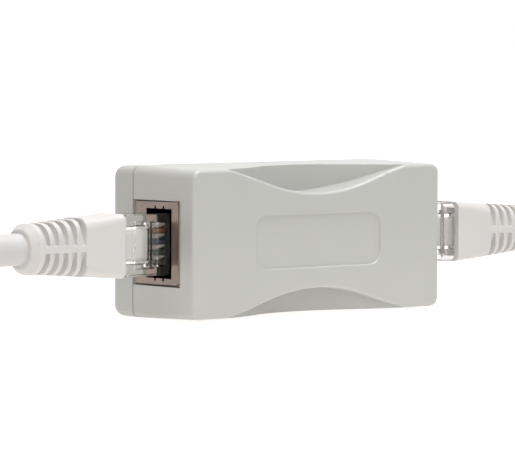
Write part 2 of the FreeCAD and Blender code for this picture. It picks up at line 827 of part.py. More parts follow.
def make_shield():
    """The socket's folded sheet cover, open towards the board."""
    outer = body("shield_outer")
    face = sketch(outer, "shield_face", "YZ_Plane")
    roof, floor = "-shield_roof", "shield_thickness - shield_roof"
    half = "shield_width/2"
    outline(face, [(roof, f"-{half}"), (floor, f"-{half}"), (floor, half), (roof, half)])
    pad(outer, "shield_block", face, "shield_length", back=True)
    thin = size("sheet_thickness")
    folds = lambda e: e.BoundBox.XMin > -thin
    dress(outer, "Fillet", "shield_folds", "Radius", "fold_radius", folds)
    inner = middle_block(
        "shield_inner", "shield_length - 2*sheet_thickness", "shield_thickness",
        "shield_width - 2*sheet_thickness", "-shield_length + sheet_thickness",
        "-shield_roof + sheet_thickness",
    )
    through = "2*sheet_thickness + cutter_overrun"
    back = "-2*sheet_thickness"
    mouth = middle_block(
        "shield_mouth", through, "mouth_roof + mouth_floor", "mouth_width", back, "-mouth_roof",
    )
    slot = middle_block(
        "shield_latch_slot", through, "latch_slot_floor", "latch_slot_width", back, "0",
    )
    relief = middle_block(
        "shield_finger_relief", through, "finger_width + 2*finger_relief",
        "mouth_width + 2*finger_relief", back, "-finger_width/2 - finger_relief",
    )
    holes = [
        rod(
            f"shield_{name}_fold_hole", "fold_hole_radius", through, back,
            "-shield_roof + fold_hole_inset", f"{sign}(shield_width/2 - fold_hole_inset)", "x",
        )
        for sign, name in (("", "upper"), ("-", "lower"))
    ]
    fingers = []
    for sign, name in (("", "upper"), ("-", "lower")):
        root = f"{sign}(mouth_width/2 + finger_bend)"
        lip = f"{sign}mouth_width/2"
        tip = f"{sign}(plug_width/2 + finger_clearance)"
        tip_back = f"{sign}(plug_width/2 + finger_clearance + sheet_thickness)"
        finger = [
            ("0", root),
            ("0", lip),
            ("-finger_reach", tip),
            ("-finger_reach", tip_back),
            ("-sheet_thickness", root),
        ]
        fingers.append(plate(f"shield_{name}_finger", finger, "finger_width", "XZ_Plane"))
    shell = cut("shield_shell", outer, inner, mouth, slot, relief, *holes)
    return fuse("socket_shield", shell, *fingers)


def make_socket_housing():
    """The dark insert: plug cavity, latch channel with two catch ledges, and wire comb."""
    length = f"shield_length - {INSERT_GAP} - face_setback"
    outer = middle_block(
        "insert_outer", length, f"shield_thickness - {INSERT_GAP}",
        f"shield_width - 2*{INSERT_GAP}", f"-shield_length + {INSERT_GAP}",
        f"-shield_roof + {INSERT_GAP}",
    )
    cavity = middle_block(
        "insert_cavity", "cavity_length + cutter_overrun", "cavity_thickness", "cavity_width",
        "-cavity_length", "-cavity_thickness/2",
    )
    channel = middle_block(
        "insert_channel", "cavity_length + cutter_overrun", "latch_slot_floor", "channel_width",
        "-cavity_length", "0",
    )
    comb_length = "shield_length - insert_back - contact_bend + contact_thickness"
    comb = middle_block(
        "insert_comb", comb_length, "comb_depth", COMB_WIDTH, "-shield_length + insert_back",
        COMB_FLOOR,
    )
    tails = middle_block(
        "insert_tails", "tail_slot_width", "shield_thickness", COMB_WIDTH,
        "-shield_length + insert_back", COMB_FLOOR,
    )
    pockets = [
        block(
            f"insert_{name}_pocket", "finger_reach + pocket_clearance + cutter_overrun",
            "finger_width + 2*pocket_clearance", "2*pocket_depth",
            "-finger_reach - pocket_clearance", "-finger_width/2 - pocket_clearance", low,
        )
        for name, low in (
            ("upper", "cavity_width/2 - pocket_depth"),
            ("lower", "-cavity_width/2 - pocket_depth"),
        )
    ]
    ledges = [
        block(
            f"insert_{name}_ledge", "ledge_length", "latch_slot_floor - ledge_height",
            "(channel_width - ledge_gap)/2", "-face_setback - ledge_length",
            "ledge_height", low,
        )
        for name, low in (("upper", "ledge_gap/2"), ("lower", "-channel_width/2"))
    ]
    hollow = cut("insert_hollow", outer, cavity, channel, comb, tails, *pockets)
    return fuse("socket_insert", hollow, *ledges)


def make_socket_contacts():
    """Eight sprung contact wires, each one bent strip that ends in a board pin."""
    thick = "contact_thickness"
    back = f"-shield_length + sheet_thickness + tail_inset - {thick}/2"
    front = f"-shield_length + sheet_thickness + tail_inset + {thick}/2"
    foot = "shield_thickness - shield_roof + board_thickness + tail_reach"
    touch = f"{BLADE_TOP} - contact_touch"
    strip = plate(
        "contact_strip",
        [
            (front, foot),
            (back, foot),
            (back, COMB_FLOOR),
            (f"-contact_bend - {thick}", COMB_FLOOR),
            ("-contact_bend", f"{COMB_FLOOR} + {thick}"),
            ("-contact_tip", touch),
            (f"-contact_tip - {thick}/3", f"{touch} - {thick}"),
            (f"-contact_bend - 3*{thick}", f"{COMB_FLOOR} + {thick}"),
            (front, f"{COMB_FLOOR} + {thick}"),
        ],
        "contact_width",
    )
    return group(
        "socket_contacts", copies("socket_contact", strip, "contact_count", "contact_pitch", "z")
    )


# Plugs and boots


def make_plug_body():
    blank = body("plug_blank")
    section = sketch(blank, "plug_section", "YZ_Plane")
    outline(section, corners("plug_thickness", "plug_width"))
    pad(blank, "plug_block", section, "plug_length")
    far = size("plug_length")
    thick = size("plug_thickness")
    rear = lambda e: near(e.BoundBox.XMin, far) and e.BoundBox.YLength > thick / 2
    dress(blank, "Chamfer", "plug_rear_bevel", "Size", "plug_bevel", rear)
    sides = lambda e: e.BoundBox.XLength > far / 2 and near(e.BoundBox.YLength, 0)
    dress(blank, "Fillet", "plug_long_edges", "Radius", "plug_edge", sides)

    below = "-plug_thickness/2 - cutter_overrun"
    slot = middle_block(
        "plug_slot_master", "blade_slot_length + cutter_overrun",
        "blade_slot_depth + cutter_overrun", "blade_slot_width", "-cutter_overrun", below,
    )
    slots = copies("plug_slot", slot, "contact_count", "contact_pitch", "z")
    crimp = middle_block(
        "plug_crimp_window", "crimp_length", "crimp_depth + cutter_overrun", "crimp_width",
        "crimp_start", below,
    )
    bar = middle_block(
        "plug_wire_window", "bar_length", "bar_depth + cutter_overrun", "bar_width",
        "bar_start", below,
    )
    tunnel = body("plug_tunnel")
    hole = sketch(tunnel, "tunnel_section", "YZ_Plane", "plug_length - tunnel_length")
    tunnel_size = ("jacket_thickness + 2*jacket_clearance", "jacket_width + 2*jacket_clearance")
    rounded_rectangle(hole, *tunnel_size, "jacket_corner")
    pad(tunnel, "tunnel_block", hole, "tunnel_length + cutter_overrun")
    channel = middle_block(
        "plug_wire_channel", "plug_length - tunnel_length - wire_start + 2*jacket_gap",
        "2*wire_radius + 2*wire_clearance", "wire_channel_width", "wire_start - wire_clearance",
        "-wire_height - wire_radius - wire_clearance",
    )
    well = middle_block(
        "plug_latch_well", "latch_length", "latch_well_depth + cutter_overrun", "channel_width",
        "latch_well_start", f"{HINGE_Y} - latch_well_depth",
    )
    groove = rod(
        "plug_hinge_groove", "hinge_radius + hinge_clearance", "channel_width",
        "hinge_start", HINGE_Y, "-channel_width/2",
    )
    return cut(
        "plug_body", blank, group("plug_slots", slots), crimp, bar, tunnel, channel, well, groove
    )


def make_latch():
    """The spring latch: a lever with catch shoulders and a narrower thumb tab."""
    half = "latch_thickness/2"
    lever = []
    for name, length, width in (
        ("shoulders", "shoulder_reach", "latch_width"),
        ("thumb_tab", "latch_length", "latch_tab_width"),
    ):
        bar = plate(
            f"latch_{name}",
            [("0", f"-{half}"), (length, f"-{half}"), (length, half), ("0", half)],
            width,
        )
        lever.append(bar)
    grip = rod(
        "latch_grip", "latch_grip_radius", "latch_tab_width", "latch_length - latch_grip_inset",
        "latch_thickness/2", "-latch_tab_width/2",
    )
    bead = rod("latch_bead", "hinge_radius", "latch_width", "0", "0", "-latch_width/2")
    tilted = fuse("latch_lever", *lever, grip, bead)
    tilted.Placement = Placement(Vector(), Rotation(Vector(0, 0, 1), size("latch_angle")))
    tilted.setExpression("Placement.Rotation.Angle", express("latch_angle"))
    moved = group("plug_latch", [tilted])
    return place(moved, "hinge_start", HINGE_Y)


def make_plug_contacts():
    """Eight gold blades, each with two points that bite into its wire."""
    low = f"{BLADE_TOP} + blade_height"
    shoulder = f"{low} - blade_shoulder"
    end = "blade_start + blade_length"
    blade = plate(
        "contact_blade",
        [
            ("blade_start", f"{BLADE_TOP} + blade_shoulder"),
            ("blade_start + blade_shoulder", BLADE_TOP),
            (end, BLADE_TOP),
            (end, shoulder),
            (f"{end} - blade_point", low),
            (f"{end} - 2*blade_point", shoulder),
            ("blade_start + 2*blade_point", shoulder),
            ("blade_start + blade_point", low),
            ("blade_start", shoulder),
        ],
        "blade_width",
    )
    return group(
        "plug_contacts", copies("plug_blade", blade, "contact_count", "contact_pitch", "z")
    )


def make_plug_wires():
    """The stripped cable inside the plug: eight wires and the squeezed jacket end."""
    wire = rod(
        "wire_master", "wire_radius", "plug_length - tunnel_length - wire_start + jacket_gap",
        "wire_start", "-wire_height", "0", "x",
    )
    row = copies("plug_wire", wire, "contact_count", "contact_pitch", "z")
    jacket = body("jacket_end")
    start = "plug_length - tunnel_length + jacket_gap"
    section = sketch(jacket, "jacket_section", "YZ_Plane", start)
    rounded_rectangle(section, "jacket_thickness", "jacket_width", "jacket_corner")
    pad(jacket, "jacket_block", section, "tunnel_length - jacket_gap")
    return group("plug_wires", [*row, jacket])


def make_boot():
    """The ribbed strain relief: a lofted sleeve with five slots that leave a side rib."""
    sleeve = body("boot_sleeve")
    stations = [
        ("plug_length", "boot_thickness", "boot_width", "boot_corner"),
        (
            "plug_length + boot_block_length", "boot_waist_thickness", "boot_waist_width",
            "boot_waist_corner",
        ),
        (
            "plug_length + boot_collar_start", "boot_collar_width", "boot_collar_width",
            "boot_collar_corner",
        ),
        (
            "plug_length + boot_length - boot_round_length", "boot_collar_width",
            "boot_collar_width", "boot_collar_corner",
        ),
        (
            "plug_length + boot_length", "boot_end_width", "boot_end_width",
            "boot_end_corner",
        ),
    ]
    sections = []
    for n, (along, thick, wide, corner) in enumerate(stations):
        section = sketch(sleeve, f"boot_section_{n + 1}", "YZ_Plane", along)
        sections.append(rounded_rectangle(section, thick, wide, corner))
    loft = sleeve.newObject("PartDesign::AdditiveLoft", "boot_loft")
    loft.Profile = sections[0]
    loft.Sections = sections[1:]
    loft.Ruled = True

    ring = body("boot_slot_ring")
    start = "plug_length + boot_block_length"
    across = "boot_width + 2*cutter_overrun"
    outer = sketch(ring, "slot_outer", "YZ_Plane", start)
    rounded_rectangle(outer, across, across, "boot_corner")
    pad(ring, "slot_disc", outer, "boot_slot_width")
    core = sketch(ring, "slot_core", "YZ_Plane", start)
    rounded_rectangle(core, "boot_core_width", "boot_core_width", "boot_core_corner")
    hole = ring.newObject("PartDesign::Pocket", "slot_hole")
    hole.Profile = core
    hole.Type = "ThroughAll"
    hole.SideType = "Symmetric"
    rib = middle_block(
        "boot_side_rib", "boot_slot_width + 2*cutter_overrun", f"{across} + cutter_overrun",
        "boot_rib_width", f"{start} - cutter_overrun", f"-({across} + cutter_overrun)/2",
    )
    slot = cut("boot_slot", ring, rib)
    slots = []
    for n in range(int(size("boot_slot_count"))):
        item = group(f"boot_slot_{n + 1}", [slot])
        bind(item, **{"Placement.Base.x": f"{n}*boot_slot_pitch + boot_slot_inset"})
        slots.append(item)
    return cut("strain_relief", sleeve, group("boot_slots", slots))


# Cords and hanks

# The right cord starts at its boot's end and goes down into its hank.
# Each point after the start: along X, sideways from the plug's axis, and height.
CORD_ROUTE = [
    (78.5, 0.0, number(FRAME_Z)),
    (91.0, 1.8, 13.0),
    (105.0, 7.0, 8.7),
    (118.5, 13.2, 5.0),
    (130.5, 17.2, 3.2),
    (141.0, 18.0, 3.0),
]


def rounded_path(points):
    """Straight runs joined by tangent arcs, each as large as its two runs allow."""
    runs = [(b - a).Length for a, b in zip(points, points[1:])]
    edges, start, radii = [], points[0], []
    for n in range(1, len(points) - 1):
        into = (points[n] - points[n - 1]).normalize()
        away = (points[n + 1] - points[n]).normalize()
        half = into.getAngle(away) / 2
        setback = 0.45 * min(runs[n - 1], runs[n])
        radius = setback / math.tan(half)
        first = points[n] - into * setback
        last = points[n] + away * setback
        bulge = (away - into).normalize() * (radius / math.cos(half) - radius)
        edges.append(Part.LineSegment(start, first).toShape())
        edges.append(Part.Arc(first, points[n] + bulge, last).toShape())
        radii.append(round(radius, 1))
        start = last
    edges.append(Part.LineSegment(start, points[-1]).toShape())
    return Part.Wire(edges), radii


def make_cord(side):
    """One lead's cord, from its own boot to the hank, in the right lead's frame."""
    start = number(f"{SOCKET_FACE} - {side}_insertion + plug_length + boot_length")
    points = [Vector(start, 0, number(FRAME_Z)), *(Vector(*spot) for spot in CORD_ROUTE)]
    path, radii = rounded_path(points)
    radius = size("cord_radius")
    circle = Part.Circle(points[0], points[1] - points[0], radius)
    ring = Part.Wire([circle.toShape()])
    tube = path.makePipeShell([ring], True, True)
    wanted = math.pi * radius**2 * path.Length
    print("cord radii", radii, "length", round(path.Length, 1))
    print("cord volume over section times length", round(tube.Volume / wanted, 4))
    item = doc.addObject("Part::Feature", f"{side}_cord_tube")
    item.Shape = tube
    return item


def racetrack(name, half_width, height, z):
    """A stadium: two round ends and the block between them."""
    far = "hank_near + hank_run"
    middle = block(
        f"{name}_middle", "hank_run", f"2*({half_width})", height, "hank_near",
        f"-({half_width})", z,
    )
    near_end = rod(f"{name}_near_end", half_width, height, "hank_near", "0", z)
    far_end = rod(f"{name}_far_end", half_width, height, far, "0", z)
    return fuse(name, middle, near_end, far_end)


def make_hank():
    """The folded spare cord: one flat turn, and a second on the far part of it."""
    outside = "hank_bend_radius + cord_radius"
    inside = "hank_bend_radius - cord_radius"
    lower = racetrack("hank_lower", outside, "2*cord_radius", "0")
    upper = racetrack("hank_upper", outside, "2*cord_radius", "2*cord_radius")
    high = "4*cord_radius + 2*cutter_overrun"
    hole = racetrack("hank_hole", inside, high, "-cutter_overrun")
    start = "hank_near - 2*hank_bend_radius"
    trims = [
        block(
            f"hank_{name}_trim", f"{end} - ({start})", f"{outside} + cutter_overrun",
            "2*cord_radius + cutter_overrun", start, low, "2*cord_radius",
        )
        for name, end, low in (
            ("entry", "hank_upper_start", "0"),
            ("exit", "hank_upper_end", f"-({outside}) - cutter_overrun"),
        )
    ]
    return cut("cord_hank", fuse("hank_solid", lower, cut("hank_top", upper, *trims)), hole)


def make_ties():
    """Two thin bands, one round each side of the hank."""
    bands = []
    for name, sign in (("entry", ""), ("exit", "-")):
        low = f"{sign}hank_bend_radius - cord_radius - tie_thickness"
        outer = block(
            f"{name}_band", "tie_width", "2*cord_radius + 2*tie_thickness",
            "4*cord_radius + tie_thickness", "tie_place - tie_width/2", low, "0",
        )
        inner = block(
            f"{name}_band_hole", "tie_width + 2*cutter_overrun", "2*cord_radius - 2*tie_bite",
            "4*cord_radius - tie_thickness - tie_bite", "tie_place - tie_width/2 - cutter_overrun",
            f"{low} + tie_thickness + tie_bite", "tie_thickness",
        )
        bands.append(cut(f"{name}_tie", outer, inner))
    return group("hank_ties", bands)


# Assembly

in_housing("front_shell", make_front_shell())
in_housing("rear_cover", make_rear_cover())
in_housing("cover_screws", make_screws())
in_housing("circuit_board", make_board())

transformer = make_transformer()
for number_in_row, item in enumerate(
    copies("transformer", transformer, "transformer_count", TRANSFORMER_PITCH, "x"), 1
):
    seat = group(f"transformer_seat_{number_in_row}", [item])
    in_housing(f"isolation_transformer_{number_in_row}", seat)

resistor = make_chip("resistor_chip", "chip_length", "chip_width", "chip_depth")
chip_row(
    "termination_resistors", resistor, "resistor_count", RESISTOR_PITCH,
    f"{SCREW_Z} - {COVER_BOSS} - chip_gap - chip_width/2",
)
capacitor = make_chip("capacitor_chip", "capacitor_length", "capacitor_width", "capacitor_depth")
chip_row(
    "termination_capacitors", capacitor, "capacitor_count", TRANSFORMER_PITCH,
    f"{COVER_BOSS} - {SCREW_Z} + chip_gap + capacitor_width/2",
)

socket_parts = {
    "shield": make_shield(),
    "insert": make_socket_housing(),
    "contacts": make_socket_contacts(),
}
plug_parts = {
    "plug": make_plug_body(),
    "latch": make_latch(),
    "contacts": make_plug_contacts(),
    "wires": make_plug_wires(),
    "boot": make_boot(),
}
cords = {side: make_cord(side) for side in ("left", "right")}
hank = make_hank()
ties = make_ties()

FAR_NOSE = "hank_upper_end - plug_length - boot_length"
FAR_HEIGHT = "2*cord_radius + boot_collar_width/2"
for side, sign, near_turn, far_turn in (
    ("left", "-", ABOUT_Y, ABOUT_Z),
    ("right", "", Rotation(), Rotation()),
):
    for part, master in socket_parts.items():
        item = group(f"{side}_socket_{part}_copy", [master])
        place(item, sign + SOCKET_FACE, AXIS_Y, FRAME_Z, near_turn)
        node(f"{side}_socket_{part}", item)
    for part, master in plug_parts.items():
        item = group(f"{side}_near_{part}_copy", [master])
        place(item, f"{sign}({SOCKET_FACE} - {side}_insertion)", AXIS_Y, FRAME_Z, near_turn)
        node(f"{side}_{part}" if part in ("plug", "boot") else f"{side}_plug_{part}", item)
    for part, master in (("cord", cords[side]), ("hank", hank), ("hank_ties", ties)):
        item = group(f"{side}_{part}_copy", [master])
        place(item, "0", AXIS_Y, "0", far_turn)
        node(f"{side}_{part}", item)
    for part, master in plug_parts.items():
        item = group(f"{side}_far_{part}_copy", [master])
        across = f"{AXIS_Y} - far_plug_offset" if side == "right" else f"{AXIS_Y} + far_plug_offset"
        place(item, f"{sign}({FAR_NOSE})", across, FAR_HEIGHT, far_turn * UP_FROM_Y)
        kind = {"plug": "far_plug", "boot": "far_boot"}.get(part, f"far_plug_{part}")
        node(f"{side}_{kind}", item)

doc.recompute()

# Checks and export

for item in doc.Objects:
    if "Invalid" in item.State or "Error" in item.State:
        raise RuntimeError(f"{item.Name} did not build: {item.State}")
for item in nodes:
    if item.Shape.isNull() or not item.Shape.isValid():
        raise RuntimeError(f"{item.Label} has no valid shape")

os.makedirs("parts", exist_ok=True)
for item in nodes:
    item.Shape.exportStep(f"parts/{item.Label}.step")
    box = item.Shape.optimalBoundingBox()
    print(
        f"{item.Label}: {len(item.Shape.Solids)} solids, {item.Shape.Volume:.2f} mm3, "
        f"x {box.XMin:.2f} {box.XMax:.2f}, y {box.YMin:.2f} {box.YMax:.2f}, "
        f"z {box.ZMin:.2f} {box.ZMax:.2f}"
    )
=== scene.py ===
import json
import math

import bmesh
import bpy
from mathutils import Matrix, Vector


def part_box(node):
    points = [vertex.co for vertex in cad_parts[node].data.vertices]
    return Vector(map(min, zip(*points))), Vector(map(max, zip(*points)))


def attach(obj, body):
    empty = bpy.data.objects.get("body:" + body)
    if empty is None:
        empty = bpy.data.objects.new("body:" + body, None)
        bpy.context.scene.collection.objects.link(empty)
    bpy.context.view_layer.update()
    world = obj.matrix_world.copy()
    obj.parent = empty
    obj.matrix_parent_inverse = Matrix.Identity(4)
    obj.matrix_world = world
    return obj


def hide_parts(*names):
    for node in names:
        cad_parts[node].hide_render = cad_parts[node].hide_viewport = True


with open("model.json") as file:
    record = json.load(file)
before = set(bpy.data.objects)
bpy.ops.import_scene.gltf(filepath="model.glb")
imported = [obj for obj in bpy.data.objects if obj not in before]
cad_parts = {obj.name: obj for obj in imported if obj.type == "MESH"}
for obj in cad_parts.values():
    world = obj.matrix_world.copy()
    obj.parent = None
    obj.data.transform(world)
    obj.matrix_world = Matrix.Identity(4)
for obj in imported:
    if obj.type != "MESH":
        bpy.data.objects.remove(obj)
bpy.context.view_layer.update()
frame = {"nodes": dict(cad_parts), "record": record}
# The two ends of the box, with their direction along X
SIDES = {"left": -1, "right": 1}

# Sizes in metres, as in the CAD model
MM = 0.001
CORD_RADIUS = 3.0 * MM
AXIS_SIDEWAYS = -2.5 * MM
AXIS_HEIGHT = 14.522 * MM
WIRE_RADIUS = 0.46 * MM


def srgb(red, green, blue):
    """A linear colour from a display colour of 0 to 255."""
    def linear(value):
        share = value / 255
        return share / 12.92 if share <= 0.04045 else ((share + 0.055) / 1.055) ** 2.4
    return (linear(red), linear(green), linear(blue))


# Materials

# A noise that isn't drawn out along any axis
EVEN = (1, 1, 1)
# Sockets of a Mix node, which have the same names for numbers and for colours
FACTOR = 0
FIRST_NUMBER, SECOND_NUMBER, MIXED_NUMBER = 2, 3, 0
FIRST_COLOUR, SECOND_COLOUR, MIXED_COLOUR = 6, 7, 2


class Finish:
    """A Principled material with the few nodes that the finishes here share."""

    def __init__(self, name, colour, roughness, **sockets):
        self.material = bpy.data.materials.new(name)
        self.material.use_nodes = True
        self.nodes = self.material.node_tree.nodes
        self.links = self.material.node_tree.links
        self.shader = self.nodes["Principled BSDF"]
        self.shader.inputs["Base Color"].default_value = (*colour, 1)
        self.shader.inputs["Roughness"].default_value = roughness
        for socket, value in sockets.items():
            self.shader.inputs[socket.replace("_", " ")].default_value = value
        self.place = None

    def add(self, kind, **settings):
        node = self.nodes.new(kind)
        for name, value in settings.items():
            setattr(node, name, value)
        return node

    def noise(self, scale, detail=2.0, stretch=EVEN):
        """A noise value over the surface, drawn out along an axis by a small stretch."""
        if self.place is None:
            self.place = self.add("ShaderNodeTexCoord")
        mapping = self.add("ShaderNodeMapping")
        mapping.inputs["Scale"].default_value = stretch
        self.links.new(self.place.outputs["Object"], mapping.inputs["Vector"])
        texture = self.add("ShaderNodeTexNoise")
        texture.inputs["Scale"].default_value = scale
        texture.inputs["Detail"].default_value = detail
        self.links.new(mapping.outputs["Vector"], texture.inputs["Vector"])
        return texture.outputs["Fac"]

    def span(self, value, low, high, start=0.3, end=0.7):
        """The value carried from start..end to low..high."""
        node = self.add("ShaderNodeMapRange")
        for socket, number in (
            ("From Min", start), ("From Max", end), ("To Min", low), ("To Max", high)
        ):
            node.inputs[socket].default_value = number
        self.links.new(value, node.inputs["Value"])
        return node.outputs["Result"]

    def mix(self, factor, first, second):
        """One colour turning into the other."""
        node = self.add("ShaderNodeMix", data_type="RGBA")
        for socket, colour in ((FIRST_COLOUR, first), (SECOND_COLOUR, second)):
            node.inputs[socket].default_value = (*colour, 1)
        self.links.new(factor, node.inputs[FACTOR])
        return node.outputs[MIXED_COLOUR]

    def paint(self, value):
        self.links.new(value, self.shader.inputs["Base Color"])
        return self

    def vary_colour(self, scale, first, second, **noise):
        factor = self.span(self.noise(scale, **noise), 0, 1)
        return self.paint(self.mix(factor, first, second))

    def vary_roughness(self, scale, low, high, **noise):
        value = self.span(self.noise(scale, **noise), low, high)
        self.links.new(value, self.shader.inputs["Roughness"])
        return self

    def grain(self, layers, strength, round_edges=None):
        """Fine relief from noise layers, over edges that are shaded as rounded to a radius."""
        normal = None
        if round_edges:
            corner = self.add("ShaderNodeBevel", samples=8)
            corner.inputs["Radius"].default_value = round_edges
            normal = corner.outputs["Normal"]
        for scale, depth, stretch in layers:
            bump = self.add("ShaderNodeBump")
            bump.inputs["Strength"].default_value = strength
            bump.inputs["Distance"].default_value = depth
            self.links.new(self.noise(scale, 3, stretch), bump.inputs["Height"])
            if normal is not None:
                self.links.new(normal, bump.inputs["Normal"])
            normal = bump.outputs["Normal"]
        self.links.new(normal, self.shader.inputs["Normal"])
        return self


def shade(colour, factor):
    return tuple(channel * factor for channel in colour)


def housing_plastic():
    """Satin light grey moulding with a fine spark-eroded texture."""
    colour = srgb(194, 195, 191)
    made = Finish("white_housing", colour, 0.35, Specular_IOR_Level=0.85)
    made.vary_colour(60, shade(colour, 0.985), shade(colour, 1.012))
    made.vary_roughness(900, 0.33, 0.37)
    layers = [(5200, 0.004 * MM, EVEN), (900, 0.004 * MM, EVEN)]
    return made.grain(layers, 0.25, round_edges=0.15 * MM).material


def soft_vinyl(name, colour, roughness, stretch=EVEN):
    """Soft moulded or extruded vinyl of a boot or a cable jacket."""
    made = Finish(name, colour, roughness, Specular_IOR_Level=0.4, Subsurface_Weight=0.06)
    made.shader.inputs["Subsurface Radius"].default_value = (0.0012, 0.001, 0.0009)
    made.vary_colour(110, shade(colour, 0.98), shade(colour, 1.01))
    made.vary_roughness(700, roughness - 0.05, roughness + 0.05)
    return made.grain([(3600, 0.008 * MM, stretch), (420, 0.02 * MM, stretch)], 0.3).material


def nickel_sheet():
    """Nickel-plated sheet, faintly rolled and a little tarnished."""
    colour = srgb(153, 139, 132)
    made = Finish("nickel_shield", colour, 0.36, Metallic=1.0)
    made.vary_colour(240, shade(colour, 0.86), shade(colour, 1.05), stretch=(0.3, 1, 1))
    made.vary_roughness(1600, 0.30, 0.46, stretch=(0.08, 1, 1))
    return made.grain([(4200, 0.006 * MM, (0.06, 1, 1))], 0.4).material


# The part of the light on the wires that the clear plastic over them holds back
CLEAR_SHADOW = 0.12


def clear_plastic():
    """Clear polycarbonate with a trace of flow marks, which lets light through to the wires."""
    made = Finish(
        "clear_plug", (0.96, 0.94, 0.915), 0.03,
        Transmission_Weight=1.0, IOR=1.58, Specular_IOR_Level=0.5,
    )
    made.vary_roughness(400, 0.015, 0.07)
    ray = made.add("ShaderNodeLightPath")
    bounce = made.add("ShaderNodeMath", operation="MAXIMUM")
    made.links.new(ray.outputs["Is Shadow Ray"], bounce.inputs[0])
    made.links.new(ray.outputs["Is Diffuse Ray"], bounce.inputs[1])
    cover = made.span(bounce.outputs[0], 1, CLEAR_SHADOW, 0, 1)
    made.links.new(cover, made.shader.inputs["Alpha"])
    return made.grain([(260, 0.02 * MM, EVEN)], 0.25).material


def gold_plate():
    colour = srgb(214, 172, 96)
    made = Finish("gold_contact", colour, 0.25, Metallic=1.0)
    made.vary_colour(900, shade(colour, 0.9), colour)
    return made.grain([(6000, 0.004 * MM, (0.1, 1, 1))], 0.3).material


def zinc_steel():
    colour = srgb(190, 190, 186)
    made = Finish("zinc_screw", colour, 0.33, Metallic=1.0)
    made.vary_colour(800, shade(colour, 0.8), colour)
    return made.grain([(5000, 0.005 * MM, EVEN)], 0.4).material


def dark_moulding(name, colour, roughness):
    made = Finish(name, colour, roughness, Specular_IOR_Level=0.45)
    made.vary_colour(500, shade(colour, 0.8), shade(colour, 1.3))
    return made.grain([(4500, 0.008 * MM, EVEN)], 0.35).material


def solder_mask():
    colour = srgb(36, 104, 62)
    made = Finish("green_board", colour, 0.35, Coat_Weight=0.3)
    made.vary_colour(700, shade(colour, 0.85), shade(colour, 1.15), stretch=(1, 1, 0.2))
    return made.grain([(2500, 0.01 * MM, (1, 1, 0.3))], 0.4).material


def insulation(name, colour):
    """A wire's plain insulation."""
    made = Finish(name, colour, 0.4)
    made.vary_colour(600, shade(colour, 0.93), shade(colour, 1.04))
    return made.grain([(5000, 0.004 * MM, EVEN)], 0.2).material


# The stripe's turns over one girth of wire length, and its share of the girth
STRIPE_TURNS = 0.35
STRIPE_WIDTH = 0.24


def striped_insulation(name, colour):
    """White insulation with one spiral stripe, laid out on the wire's own unwrapped sides. Its
    white is painted grey as painted shade.
    """
    # The white is painted dark grey: painted shade for the wires that lie inside the plugs
    white = srgb(156, 153, 149)
    made = Finish(name, white, 0.4)
    spot = made.add("ShaderNodeUVMap")
    split = made.add("ShaderNodeSeparateXYZ")
    made.links.new(spot.outputs["UV"], split.inputs[0])
    along = made.add("ShaderNodeMath", operation="MULTIPLY_ADD")
    along.inputs[1].default_value = STRIPE_TURNS
    made.links.new(split.outputs["Y"], along.inputs[0])
    made.links.new(split.outputs["X"], along.inputs[2])
    turn = made.add("ShaderNodeMath", operation="FRACT")
    made.links.new(along.outputs[0], turn.inputs[0])
    stripe = made.add("ShaderNodeMath", operation="LESS_THAN")
    stripe.inputs[1].default_value = STRIPE_WIDTH
    made.links.new(turn.outputs[0], stripe.inputs[0])
    return made.paint(made.mix(stripe.outputs[0], white, colour)).material


# The pair colours are darkened and greyed: painted shade for the wires that lie inside the plugs
SHADED_PAIR_COLOURS = {
    "orange": srgb(124, 92, 74),
    "green": srgb(52, 70, 61),
    "blue": srgb(50, 58, 76),
    "brown": srgb(64, 54, 47),
}
# The order of the wires across the plug, from its first contact
WIRE_ORDER = [
    ("orange", True), ("orange", False), ("green", True), ("blue", False),
    ("blue", True), ("green", False), ("brown", True), ("brown", False),
]

finishes = {
    "white_housing": housing_plastic(),
    "light_boot": soft_vinyl("light_boot", srgb(223, 220, 218), 0.45),
    "cable_jacket": soft_vinyl("cable_jacket", srgb(216, 215, 215), 0.4),
    "cable_tie": soft_vinyl("cable_tie", srgb(218, 218, 215), 0.36),
    "nickel_shield": nickel_sheet(),
    "clear_plug": clear_plastic(),
    "gold_contact": gold_plate(),
    "zinc_screw": zinc_steel(),
    "black_insert": dark_moulding("black_insert", srgb(34, 34, 36), 0.4),
    "black_transformer": dark_moulding("black_transformer", srgb(38, 38, 38), 0.55),
    "chip_body": dark_moulding("chip_body", srgb(44, 44, 46), 0.5),
    "capacitor_body": dark_moulding("capacitor_body", srgb(170, 138, 96), 0.5),
    "green_board": solder_mask(),
}
wire_finishes = {}
for hue, colour in SHADED_PAIR_COLOURS.items():
    wire_finishes[hue, False] = insulation(f"wire_{hue}", colour)
    wire_finishes[hue, True] = striped_insulation(f"wire_white_{hue}", colour)

# Pieces from the CAD solids

FLAT_ANGLE = math.radians(0.4)
SHARP_ANGLE = math.radians(32)
# Points nearer than this are one point, in a piece and within one solid
SAME_PLACE = 1e-6
SOLID_SAME_PLACE = 1e-7


def new_object(name, mesh, material):
    item = bpy.data.objects.new(name, mesh)
    bpy.context.scene.collection.objects.link(item)
    item.data.materials.append(material)
    return item


def finish_mesh(work, name):
    """The mesh that a working copy has become."""
    mesh = bpy.data.meshes.new(name)
    work.to_mesh(mesh)
    work.free()
    return mesh


def clean_mesh(node):
    """A CAD solid's mesh with its flat faces whole and its sharp edges marked."""
    work = bmesh.new()
    work.from_mesh(frame["nodes"][node].data)
    bmesh.ops.remove_doubles(work, verts=work.verts, dist=SAME_PLACE)
    bmesh.ops.dissolve_limit(
        work, angle_limit=FLAT_ANGLE, verts=work.verts, edges=work.edges
    )
    for face in work.faces:
        face.smooth = True
    for edge in work.edges:
        if len(edge.link_faces) == 2:
            edge.smooth = edge.calc_face_angle(0) < SHARP_ANGLE
    return finish_mesh(work, node + "_shape")


